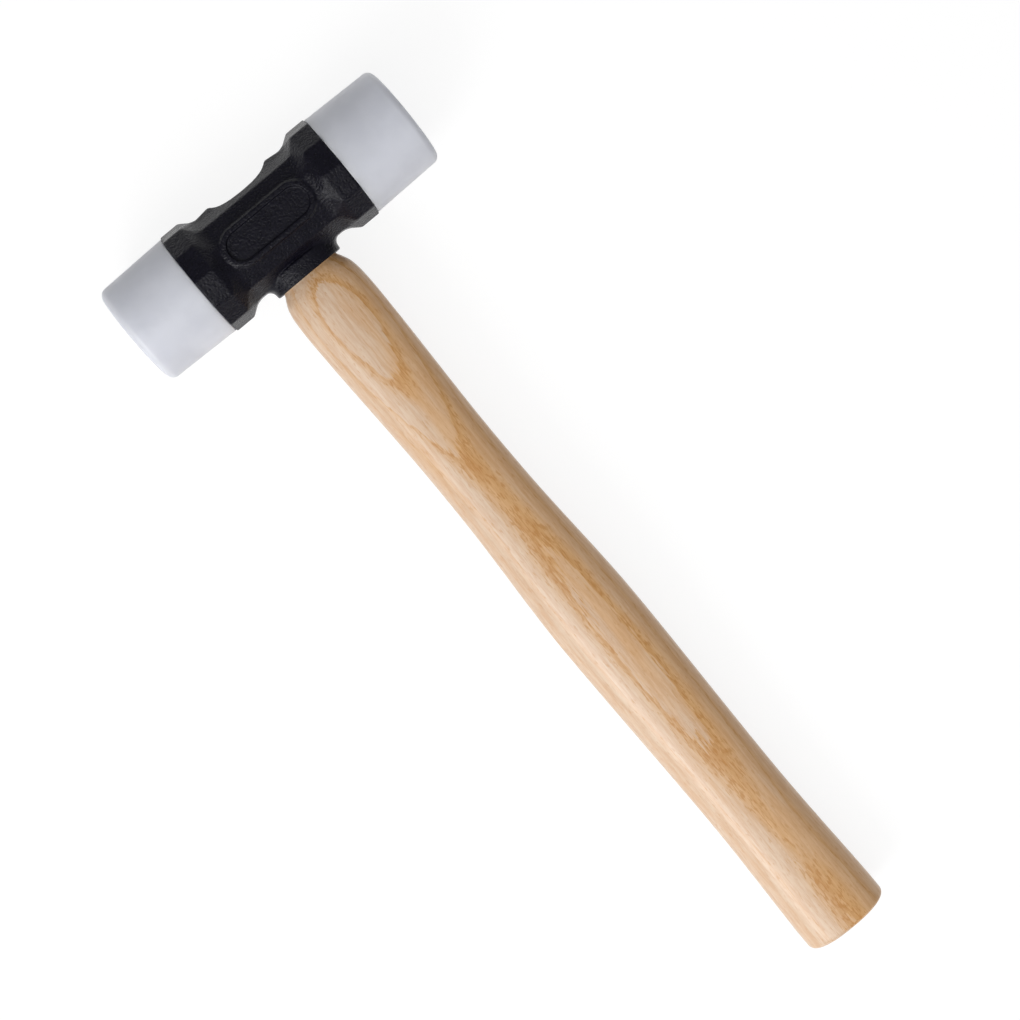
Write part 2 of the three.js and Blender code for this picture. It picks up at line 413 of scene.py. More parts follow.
def box_rings(middle: float, heights: Array, half_lengths: Array, half_depths: Array) -> Array:
    """Rings of a tapered slab: four corners at each height, at plus and minus the half sizes."""
    side = np.array([1, 1, -1, -1])
    front = np.array([1, -1, -1, 1])
    level = np.broadcast_to(heights[:, None], (len(heights), 4))
    return np.stack([middle + half_lengths[:, None] * side, level, half_depths[:, None] * front], axis=-1)


def slope_of(field: Callable[[Array], Array], points: Array, step: float) -> Array:
    """Gradient of a field by central differences along the three axes.

    Args:
        field: distances at points.
        points: where the gradient is wanted.
        step: half the span of a difference.

    Returns:
        One direction for each point.
    """
    shifts = np.eye(3) * step
    rises = [field(points + shift) - field(points - shift) for shift in shifts]
    return np.stack(rises, axis=-1) / (2 * step)


def level_shell(
    field: Callable[[Array], Array], low: Array, high: Array, spacing: float
) -> tuple[Shell, Array]:
    """Surface on which a distance field is zero, as one vertex for each crossed cell of a grid.

    A vertex is the mean of the points where the field changes sign on its cell's twelve edges, and it
    then slides down the field's slope to the zero level. Each crossed grid edge gives the face that
    joins the four cells round it.

    Args:
        field: signed distances at points, negative inside.
        low: lowest corner of the grid.
        high: highest corner of the grid.
        spacing: edge of a cell.

    Returns:
        The shell, and the outward direction at each of its points.
    """
    axes = [np.arange(a, b + spacing, spacing) for a, b in zip(low, high)]
    grid = np.stack(np.meshgrid(*axes, indexing="ij"), axis=-1)
    values = field(grid)
    inside = values < 0
    cells = np.array(values.shape) - 1

    def corner(kept: Array, offset: Sequence[int]) -> Array:
        """Value at one corner of every cell."""
        return kept[tuple(slice(o, o + n) for o, n in zip(offset, cells))]

    offsets = np.stack(np.meshgrid([0, 1], [0, 1], [0, 1], indexing="ij"), axis=-1).reshape(-1, 3)
    filled = sum(corner(inside, offset).astype(int) for offset in offsets)
    crossed = (filled > 0) & (filled < 8)
    number = np.full(cells, -1)
    number[crossed] = np.arange(crossed.sum())
    total = np.zeros((crossed.sum(), 3))
    count = np.zeros(crossed.sum())
    for axis in range(3):
        step = np.eye(3, dtype=int)[axis]
        for offset in offsets[offsets[:, axis] == 0]:
            start = corner(values, offset)[crossed]
            end = corner(values, offset + step)[crossed]
            cut = (start < 0) != (end < 0)
            share = start / np.where(cut, start - end, 1)
            total += np.where(cut[:, None], offset + share[:, None] * step, 0)
            count += cut
    points = (np.argwhere(crossed) + total / count[:, None]) * spacing + np.array([a[0] for a in axes])

    faces = []
    for axis in range(3):
        second, third = (axis + 1) % 3, (axis + 2) % 3
        ahead = np.moveaxis(inside, axis, 0)
        turn = np.argwhere(np.moveaxis(ahead[:-1] != ahead[1:], 0, axis))
        around = [(-1, -1), (0, -1), (0, 0), (-1, 0)]
        ring = []
        for b, c in around:
            cell = turn.copy()
            cell[:, second] += b
            cell[:, third] += c
            ring.append(number[tuple(cell.T)])
        face = np.stack(ring, axis=-1)
        leaving = inside[tuple(turn.T)]
        faces.append(np.where(leaving[:, None], face, face[:, ::-1]))
    quads = np.concatenate(faces)

    for _ in range(SLIDES):
        slope = slope_of(field, points, SLIDE_STEP)
        steep = np.maximum((slope * slope).sum(axis=1), LEAST_SLOPE_SQUARED)
        slide = (field(points) / steep)[:, None] * slope
        points = points - np.clip(slide, -spacing / 2, spacing / 2)
    outward = unit(slope_of(field, points, SHADING_STEP))
    return Shell(points, quads, np.empty((0, 3), int)), outward


# Head casting


@dataclass(frozen=True)
class Thread:
    """Screw thread of the nylon faces: a helix of the given pitch on the spigot and in its socket."""

    pitch: float = 2.5
    crest_radius: float = 9.0
    depth: float = 0.8
    clearance: float = 0.3
    groove: float = 0.45
    flank: float = 0.8

    def crest(self, reach: Array, angle: Array) -> Array:
        """Share of the ridge, 1 on its flat crest and 0 in its flat root.

        It is a cosine of the reach in pitches less the angle in turns, stretched and cut off flat.

        Args:
            reach: distance from the middle of the head.
            angle: turn about the head's axis, in radians.

        Returns:
            Shares from 0 to 1.
        """
        wave = np.cos(2 * np.pi * reach / self.pitch - angle)
        return np.clip(0.5 + self.flank * wave, 0, 1)


@dataclass(frozen=True)
class Casting:
    """Black cast head: a twelve-sided waist, two flared collars, an eye with a boss, and a bare badge."""

    thread: Thread = Thread()
    flat_angle: float = math.radians(30)
    waist_apothem: float = 15.15
    waist_end: float = 17.3
    collar_radius: float = 18.05
    collar_start: float = 21.2
    collar_end: float = 27.98
    facet_crispness: float = 11.0
    collar_edge: float = 0.55
    ramp_fillet: float = 1.0
    eye_top: Span = (11.4, 7.6)
    eye_bottom: Span = (10.2, 6.6)
    eye_edge: float = 0.7
    oval_power: float = 2.3
    lip_reach: float = 13.8
    lip_land: float = 11.9
    lip_half_depth: float = 4.06
    lip_height: float = 0.5
    lip_fillet: float = 0.8
    lip_crispness: float = 7.0
    lip_root: float = 4.0
    boss_bottom: float = -18.65
    boss_top: float = -13.0
    boss_wall: float = 1.8
    boss_draft: float = 0.07
    boss_edge: float = 0.45
    boss_rim: float = 0.8
    boss_front_fillet: float = 0.35
    boss_end_fillet: float = 2.2
    boss_fillet_span: Span = (7.0, 12.5)
    badge_half_length: float = 16.4
    badge_half_height: float = 6.35
    badge_top: float = 15.5
    badge_rim: float = 1.75
    badge_sink: float = 0.8
    badge_edge: float = 0.6
    well_edge: float = 0.3
    socket_floor: float = 15.2
    socket_corner: float = 0.5
    socket_edge: float = 0.25
    groove_start: Span = (0.6, 2.6)
    mouth_cone: float = 0.9
    mouth_depth: float = 3.0
    bare_start: float = 0.3
    bare_wall: Span = (1.0, 0.7)
    unevenness: float = 0.035
    skin_start: Span = (0.3, 1.5)
    spacing: float = 0.4
    margin: float = 0.7

    def across_facets(self, radius: Array, angle: Array) -> Array:
        """Distances from the axis along the three nearest of twelve directions, radius times cosine.

        Args:
            radius: distance from the head's axis.
            angle: turn about it from one of the directions.

        Returns:
            Three distances for each point, in front of the other dimensions.
        """
        fold = (angle + self.flat_angle / 2) % self.flat_angle - self.flat_angle / 2
        return np.stack([radius * np.cos(fold + turn) for turn in (-self.flat_angle, 0, self.flat_angle)])

    def ramp(self, reach: Array, across: Array, foot: float, head: float) -> Array:
        """Distance to ramp planes through a foot at the waist's end and a head at the collar's start."""
        run = self.collar_start - self.waist_end
        length = math.hypot(run, head - foot)
        return ((across - foot) * run - (reach - self.waist_end) * (head - foot)) / length

    def blank(self, reach: Array, radius: Array, angle: Array) -> Array:
        """Distance to the faceted body: the waist prism joined to the collars and their ramps.

        A collar is what its twelve flats, two sets of twelve ramp planes and its end plane share.

        Args:
            reach: distance from the middle along the head.
            radius: distance from the head's axis.
            angle: turn about it, from the top.

        Returns:
            Distances, negative inside.
        """
        half = self.flat_angle / 2
        flats = self.across_facets(radius, angle)
        corners = self.across_facets(radius, angle - half)
        waist_corner = self.waist_apothem / math.cos(half)
        collar_apothem = self.collar_radius * math.cos(half)
        planes = [
            corners - collar_apothem,
            self.ramp(reach, corners, waist_corner, collar_apothem),
            self.ramp(reach, flats, self.waist_apothem, self.collar_radius),
        ]
        collar = soft_most(np.concatenate(planes), self.facet_crispness)
        waist = soft_most(flats - self.waist_apothem, self.facet_crispness)
        body = joined(waist, collar, self.ramp_fillet)
        return shared_by(body, reach - self.collar_end, self.collar_edge)

    def boss(self, x: Array, y: Array, z: Array) -> Array:
        """Distance to the oval boss under the eye, which widens a little up to its round shoulder."""
        drop = y - self.boss_bottom
        grown = self.boss_wall + self.boss_draft * drop
        column = oval_distance(x, z, self.eye_bottom[0] + grown, self.eye_bottom[1] + grown, self.oval_power)
        return shared_by(shared_by(column, -drop, self.boss_edge), y - self.boss_top, self.boss_rim)

    def lips(self, reach: Array, y: Array, z: Array) -> Array:
        """Distance to the low lips at the eye's two ends: a land, an outer slope and two flanks."""
        land = y - self.waist_apothem - self.lip_height
        fall = math.atan2(self.lip_height, self.lip_reach - self.lip_land)
        slope = (reach - self.lip_reach) * math.sin(fall) + (y - self.waist_apothem) * math.cos(fall)
        flank = (np.abs(z) - self.lip_half_depth + y - self.waist_apothem) * math.sqrt(0.5)
        top = soft_most(np.stack([land, slope, flank]), self.lip_crispness)
        return np.maximum(top, self.waist_apothem - self.lip_root - y)

    def badge(self, body: Array, reach: Array, y: Array, z: Array) -> Array:
        """Joins the raised stadium of the badge to the body and sinks its bare field.

        Args:
            body: distance to the body so far.
            reach: distance from the middle along the head.
            y: height on the handle's axis.
            z: height towards the front.

        Returns:
            Distances with the badge on.
        """
        run = np.maximum(reach - self.badge_half_length + self.badge_half_height, 0)
        outline = np.hypot(run, y) - self.badge_half_height
        pad = np.maximum(shared_by(outline, z - self.badge_top, self.badge_edge), -z)
        floor = self.badge_top - self.badge_sink
        well = shared_by(outline + self.badge_rim, floor - z, self.well_edge)
        return shared_by(joined(body, pad, self.badge_edge), -well, self.well_edge)

    def eye(self, x: Array, y: Array, z: Array) -> Array:
        """Distance to the eye, an oval whose half sizes grow evenly from its bottom to its top."""
        rise = (y - self.boss_bottom) / (self.waist_apothem - self.boss_bottom)
        half_width = self.eye_bottom[0] + (self.eye_top[0] - self.eye_bottom[0]) * rise
        half_depth = self.eye_bottom[1] + (self.eye_top[1] - self.eye_bottom[1]) * rise
        return oval_distance(x, z, half_width, half_depth, self.oval_power)

    def socket(self, x: Array, y: Array, z: Array, reach: Array, radius: Array) -> Array:
        """Distance to the threaded sockets: a bore with a helical groove, a floor and a coned mouth.

        Args:
            x: distance along the head.
            y: height on the handle's axis.
            z: height towards the front.
            reach: distance from the middle along the head.
            radius: distance from the head's axis.

        Returns:
            Distances, negative inside the sockets.
        """
        bore = self.thread.crest_radius + self.thread.clearance
        turn = np.arctan2(z * np.sign(x), y)
        started = ease(reach - self.socket_floor, *self.groove_start)
        groove = self.thread.groove * self.thread.crest(reach, turn) * started
        wall = shared_by(radius - bore - groove, self.socket_floor - reach, self.socket_corner)
        cone = (radius - bore - (reach - self.collar_end + self.mouth_cone)) * math.sqrt(0.5)
        return np.minimum(wall, np.maximum(cone, self.collar_end - self.mouth_depth - reach))

    def ripple(self, points: Array) -> Array:
        """Gentle unevenness of a sand casting: a mean of six sine waves of 7 to 15 mm."""
        waves = np.array(
            [
                [0.62, 0.21, 0.33],
                [-0.35, 0.52, 0.18],
                [0.15, -0.44, 0.55],
                [0.48, 0.36, -0.41],
                [-0.22, 0.58, -0.47],
                [0.71, -0.13, 0.26],
            ]
        )
        shifts = np.array([0.4, 1.9, 3.1, 4.4, 5.2, 2.6])
        return np.sin(points @ waves.T + shifts).mean(axis=-1)

    def distance(self, points: Array) -> Array:
        """Signed distance to the whole casting: bodies are joined first, then openings are taken out.

        Args:
            points: places on the tool's axes.

        Returns:
            Distances, negative inside.
        """
        x, y, z = points[..., 0], points[..., 1], points[..., 2]
        reach = np.abs(x)
        radius = np.hypot(y, z)
        body = self.blank(reach, radius, np.arctan2(z, y))
        endward = ease(reach, *self.boss_fillet_span)
        fillet = self.boss_front_fillet + (self.boss_end_fillet - self.boss_front_fillet) * endward
        body = joined(body, self.boss(x, y, z), fillet)
        body = joined(body, self.lips(reach, y, z), self.lip_fillet)
        body = self.badge(body, reach, y, z)
        body = shared_by(body, -self.eye(x, y, z), self.eye_edge)
        body = shared_by(body, -self.socket(x, y, z, reach, radius), self.socket_edge)
        cast = ease(self.collar_end - reach, *self.skin_start)
        return body + self.unevenness * cast * self.ripple(points)

    def machined(self, points: Array) -> Array:
        """Share of bare iron at each point: 1 on the threads of the sockets, 0 on the paint."""
        radius = np.hypot(points[:, 1], points[:, 2])
        bore = self.thread.crest_radius + self.thread.clearance
        deep = ease(np.abs(points[:, 0]), self.socket_floor - self.bare_start, self.socket_floor)
        return deep * ease(radius - bore, *self.bare_wall)

    def build(self, finish: bpy.types.Material) -> None:
        """Builds the casting, with the field's own slope as its shading directions.

        Args:
            finish: the black paint.
        """
        low = np.array([-self.collar_end, self.boss_bottom, -self.collar_radius]) - self.margin
        high = np.array([self.collar_end, self.collar_radius, self.collar_radius]) + self.margin
        shell, outward = level_shell(self.distance, low, high, self.spacing)
        piece = make_object("black_casting", shell)
        piece.data.normals_split_custom_set_from_vertices(TOOL.direct(outward))
        add_values(piece, "machined", self.machined(shell.points))
        enter(piece, Body.MALLET, "head_casting", finish)


# Nylon faces


@dataclass(frozen=True)
class NylonFace:
    """Turned nylon face: a tapered drum with a round edge on a threaded spigot."""

    thread: Thread = Thread()
    tip: float = 16.0
    seat: float = 28.0
    end: float = 52.7
    root_radius: float = 17.5
    root_edge: float = 0.25
    end_radius: float = 16.95
    end_edge: float = 2.4
    tip_chamfer: float = 1.0
    middle: float = 0.6
    seat_gap: float = 0.3
    thread_start: Span = (0.4, 2.4)
    thread_end: Span = (0.6, 2.2)
    sharp_angle: float = math.radians(50)
    around: int = 144

    def outline(self) -> Array:
        """Half section from the spigot's tip to the striking end.

        Straight runs are cut into short steps, and both edges of the drum are quarter circles.

        Returns:
            Rows of reach along the head and radius.
        """
        crest = self.thread.crest_radius
        quarter = np.linspace(0, np.pi / 2, 9)
        root = self.root_radius - self.root_edge + self.root_edge * np.sin(quarter)
        root_reach = self.seat + self.root_edge * (1 - np.cos(quarter))
        inner = self.end_radius - self.end_edge
        bend = np.linspace(0, np.pi / 2, 17)
        edge = inner + self.end_edge * np.cos(bend)
        edge_reach = self.end - self.end_edge * (1 - np.sin(bend))
        tip_radius = crest - self.tip_chamfer
        full = self.tip + self.tip_chamfer
        runs = [
            (np.full(6, self.tip), np.linspace(self.middle, tip_radius, 6)),
            (np.linspace(self.tip, full, 5)[1:], np.linspace(tip_radius, crest, 5)[1:]),
            (np.linspace(full, self.seat, 56)[1:], np.full(55, crest)),
            (np.full(12, self.seat), np.linspace(crest + self.seat_gap, root[0] - self.seat_gap, 12)),
            (root_reach, root),
            (np.linspace(root_reach[-1], edge_reach[0], 25)[1:-1], np.linspace(root[-1], edge[0], 25)[1:-1]),
            (edge_reach, edge),
            (np.full(12, self.end), np.linspace(inner - self.middle, self.middle, 12)),
        ]
        return np.concatenate([np.stack(run, axis=-1) for run in runs])

    def build(self, end: End, finish: bpy.types.Material) -> None:
        """Builds the face: the outline turned about the head's axis, less the thread's root on the spigot.

        Args:
            end: the end of the head that it screws into.
            finish: the nylon.
        """
        outline = self.outline()
        reach, radius = outline[:, :1], outline[:, 1:]
        turn = np.arange(self.around) * 2 * np.pi / self.around
        started = ease(reach - self.tip, *self.thread_start)
        stopped = ease(self.seat - reach, *self.thread_end)
        root = (1 - self.thread.crest(reach, turn)) * started * stopped
        turned = radius - self.thread.depth * root
        along = np.broadcast_to(reach, turned.shape)
        rings = np.stack([along, turned * np.cos(turn), turned * np.sin(turn)], axis=-1)
        name = end.name.lower()
        piece = make_object(f"{name}_nylon_face", closed_rings(rings).turned_to(end))
        piece.data.set_sharp_from_angle(angle=self.sharp_angle)
        enter(piece, Body[f"{end.name}_FACE"], f"{name}_face", finish)


# Handle


@dataclass(frozen=True)
class Kerf:
    """Cuts in the top of the handle for the wood wedge and the two steel wedges across it."""

    top: float = 12.506
    depth: float = 17.0
    half_length: float = 12.4
    top_width: float = 4.4
    bottom_width: float = 1.8
    steel_spacing: float = 10.0
    steel_length: float = 11.0
    steel_half_width: float = 4.2
    steel_top: float = 2.2
    steel_tip: float = 0.8
    clearance: float = 0.3
    overrun: float = 1.0

    def cutters(self) -> list[bpy.types.Object]:
        """Makes the tapered slabs that are cut out of the tenon.

        Returns:
            The kerf and the two slots, as solids.
        """
        kerf_heights = np.array([self.top - self.depth, self.top + self.overrun])
        growth = (self.top_width - self.bottom_width) / self.depth
        kerf_halves = (self.bottom_width + growth * (kerf_heights - kerf_heights[0])) / 2
        rings = [box_rings(0, kerf_heights, np.full(2, self.half_length), kerf_halves)]
        tip = self.top - self.steel_length
        heights = np.array([tip - self.clearance, self.top + self.overrun])
        growth = (self.steel_top - self.steel_tip) / self.steel_length
        halves = (self.steel_tip + growth * (heights - tip)) / 2 + self.clearance
        depths = np.full(2, self.steel_half_width + self.clearance)
        for side in End:
            rings.append(box_rings(side.value * self.steel_spacing / 2, heights, halves, depths))
        return [make_object("cutter", closed_rings(ring)) for ring in rings]


@dataclass(frozen=True)
class GrowthRings:
    """Yearly rings of the ash billet, arcs about a pith that runs in front of the handle and wanders.

    A row of the course has the reach down the handle, the ring met in the middle of the front, and how
    far to the right the pith runs.
    """

    pith_height: float = 45.0
    ring_width: float = 3.0
    course: tuple[Triple, ...] = (
        (-14.0, 1.5, 0.6),
        (18.0, 1.3, 1.0),
        (23.0, 1.0, 1.2),
        (35.0, 0.5, 1.5),
        (59.0, 1.0, 1.5),
        (92.0, 2.0, 2.4),
        (108.0, 2.03, 4.6),
        (119.0, 1.98, 4.6),
        (131.0, 1.905, 4.0),
        (150.0, 1.83, 3.8),
        (172.0, 1.77, 4.0),
        (196.0, 1.84, 4.0),
        (215.0, 2.0, 3.8),
        (226.0, 2.1, 2.5),
        (240.0, 2.2, 2.5),
        (250.0, 2.21, 2.8),
        (262.0, 2.01, 3.6),
        (282.0, 1.96, 4.0),
    )

    def count(self, points: Array, half_depth: Array) -> Array:
        """Number of the ring at each point.

        It is the distance from the pith, less that of the middle of the front, in ring widths, added to
        the ring that the course gives there.

        Args:
            points: places on the tool's axes.
            half_depth: half the handle's depth at each of them.

        Returns:
            Ring numbers, whole where a year begins.
        """
        course = through_stations(np.array(self.course), -points[:, 1])
        away = np.hypot(points[:, 0] - course[:, 1], self.pith_height - points[:, 2])
        return (away - self.pith_height + half_depth) / self.ring_width + course[:, 0]


@dataclass(frozen=True)
class Handle:
    """Ash handle: an oval loft from the tenon in the eye through shoulder, neck, belly and grip to the butt.

    A station has the reach down the handle's axis, half the width and half the depth.
    """

    rings: GrowthRings = GrowthRings()
    kerf: Kerf = Kerf()
    oval_power: float = 2.3
    tenon_top: Triple = (-12.506, 11.006, 7.222)
    stations: tuple[Triple, ...] = (
        (18.65, 9.9, 6.3),
        (21.1, 11.25, 7.4),
        (23.55, 12.25, 8.3),
        (27.5, 12.85, 8.95),
        (34.05, 13.1, 9.3),
        (90.05, 12.1, 8.8),
        (106.0, 12.26, 8.95),
        (158.05, 14.2, 10.2),
        (228.05, 13.5, 9.9),
        (274.05, 14.6, 10.6),
    )
    end: float = 281.45
    end_edge: float = 1.7
    sharp_angle: float = math.radians(40)
    cap_span: Span = (0.08, 0.92)
    cap_rings: int = 10
    tenon_rings: int = 40
    body_rings: int = 430
    around: int = 150

    def sizes(self, reach: Array) -> Array:
        """Half width and half depth at a reach: straight through the eye, then a curve through the stations.

        Args:
            reach: distance down the handle's axis from the head's axis.

        Returns:
            Two columns of half sizes.
        """
        stations = np.array(self.stations)
        below = through_stations(stations, reach)
        top, mouth = np.array(self.tenon_top), stations[0]
        share = ((reach - top[0]) / (mouth[0] - top[0]))[:, None]
        return np.where(reach[:, None] < mouth[0], top[1:] + (mouth[1:] - top[1:]) * share, below)

    def surface(self) -> Shell:
        """Rings from the middle of the tenon's top to the middle of the butt, whose edge is a quarter circle.

        Returns:
            The shell.
        """
        shrink = np.linspace(*self.cap_span, self.cap_rings)[:, None]
        top = self.sizes(np.array([self.tenon_top[0]]))
        tenon = np.linspace(self.tenon_top[0], self.stations[0][0], self.tenon_rings)
        body = np.linspace(self.stations[0][0], self.end - self.end_edge, self.body_rings)[1:]
        long_run = np.concatenate([tenon, body])
        arc = np.linspace(0, np.pi / 2, 9)[1:]
        inset = self.end_edge * (1 - np.cos(arc))[:, None]
        butt = self.sizes(np.array([self.end]))
        edge_reach = self.end - self.end_edge * (1 - np.sin(arc))
        inner = butt - self.end_edge
        top_cap, end_cap = (np.full(self.cap_rings, at) for at in (self.tenon_top[0], self.end))
        reach = np.concatenate([top_cap, long_run, edge_reach, end_cap])
        halves = np.concatenate([top * shrink, self.sizes(long_run), butt - inset, inner * shrink[::-1]])
        return closed_rings(oval_rings(-reach, halves[:, 0], halves[:, 1], self.around, self.oval_power))

    def build(self, finish: bpy.types.Material) -> None:
        """Builds the handle, cuts its kerf and keeps the number of the growth ring at each vertex.

        Args:
            finish: the lacquered ash.
        """
        piece = make_object("ash_handle", self.surface())
        cut_away(piece, self.kerf.cutters())
        piece.data.set_sharp_from_angle(angle=self.sharp_angle)
        points = points_of(piece)
        add_values(piece, "ring", self.rings.count(points, self.sizes(-points[:, 1])[:, 1]))
        enter(piece, Body.MALLET, "handle", finish)


# Finishes

VALUE = "NodeSocketFloat"
VECTOR = "NodeSocketVector"

# Span that cloudy noise mostly stays in
TONE_SPAN: Span = (0.3, 0.7)


def opaque(colour: Any) -> Any:
    """Adds a full alpha to a plain colour, and leaves a socket as it is."""
    return colour if isinstance(colour, bpy.types.NodeSocket) else (*colour, 1)


class Bench:
    """Adds nodes to one tree and wires them, so that a finish reads as a list of steps."""

    def __init__(self, tree: bpy.types.NodeTree) -> None:
        """Works on the given tree."""
        self.tree = tree

    def add(self, kind: str, inputs: dict[str | int, Any] | None = None, **settings: Any) -> bpy.types.Node:
        """Adds one node.

        Args:
            kind: the node's type.
            inputs: by name or number, a socket to wire in or a value to set.
            settings: the node's own properties.

        Returns:
            The node.
        """
        node = self.tree.nodes.new(kind)
        for name, value in settings.items():
            setattr(node, name, value)
        for name, value in (inputs or {}).items():
            if isinstance(value, bpy.types.NodeSocket):
                self.tree.links.new(value, node.inputs[name])
            else:
                node.inputs[name].default_value = value
        return node

    def sum_up(self, operation: str, *values: Any) -> bpy.types.NodeSocket:
        """Works out one step of arithmetic on one to three values."""
        return self.add("ShaderNodeMath", dict(enumerate(values)), operation=operation).outputs[0]

    def remap(
        self, value: bpy.types.NodeSocket, start: Any, end: Any, low: Any = 0.0, high: Any = 1.0
    ) -> bpy.types.NodeSocket:
        """Carries a value from one span to another on a smooth step.

        Args:
            value: what is carried.
            start: where it gives low.
            end: where it gives high.
            low: the result at and before start.
            high: the result at and after end.

        Returns:
            The result.
        """
        inputs = {"Value": value, "From Min": start, "From Max": end, "To Min": low, "To Max": high}
        return self.add("ShaderNodeMapRange", inputs, interpolation_type="SMOOTHSTEP").outputs["Result"]

    def blend(self, share: Any, first: Any, second: Any) -> bpy.types.NodeSocket:
        """Mixes two colours by a share from 0 to 1."""
        inputs = {0: share, 6: opaque(first), 7: opaque(second)}
        return self.add("ShaderNodeMix", inputs, data_type="RGBA").outputs[2]

    def noise(
        self, place: bpy.types.NodeSocket, waves: Triple, detail: float, fineness: float = 0.5
    ) -> bpy.types.NodeSocket:
        """Cloudy noise, drawn out along an axis that has fewer waves to a millimetre than the others.

        Args:
            place: where it is read.
            waves: waves to a millimetre along the three axes.
            detail: how many finer waves are added.
            fineness: strength of each finer wave against the one before.

        Returns:
            Values about 0.5.
        """
        drawn = self.add("ShaderNodeVectorMath", {0: place, 1: waves}, operation="MULTIPLY").outputs[0]
        inputs = {"Vector": drawn, "Scale": 1.0, "Detail": detail, "Roughness": fineness}
        return self.add("ShaderNodeTexNoise", inputs).outputs["Fac"]

    def tool_place(self) -> bpy.types.NodeSocket:
        """Object coordinates turned back to the tool's axes, in millimetres.

        Returns:
            The place as a vector.
        """
        inputs = {
            "Vector": self.add("ShaderNodeTexCoord").outputs["Object"],
            "Location": TOOL.fetch(np.zeros(3)),
            "Rotation": (-TOOL.tilt, 0, 0),
            "Scale": (1 / MM,) * 3,
        }
        return self.add("ShaderNodeMapping", inputs).outputs[0]

    def bump(self, height: bpy.types.NodeSocket, depth: float) -> bpy.types.NodeSocket:
        """Relief from a height of 0 to 1 that stands for depth millimetres."""
        inputs = {"Height": height, "Distance": depth * MM, "Strength": 1.0}
        return self.add("ShaderNodeBump", inputs).outputs[0]


def new_group(name: str, inputs: dict[str, str], outputs: dict[str, str]) -> bpy.types.NodeTree:
    """Starts a node group with named sockets.

    Args:
        name: the group's name.
        inputs: socket types by name.
        outputs: socket types by name.

    Returns:
        The group, empty but for its sockets.
    """
    group = bpy.data.node_groups.new(name, "ShaderNodeTree")
    for in_out, sockets in (("INPUT", inputs), ("OUTPUT", outputs)):
        for socket, kind in sockets.items():
            group.interface.new_socket(socket, in_out=in_out, socket_type=kind)
    return group


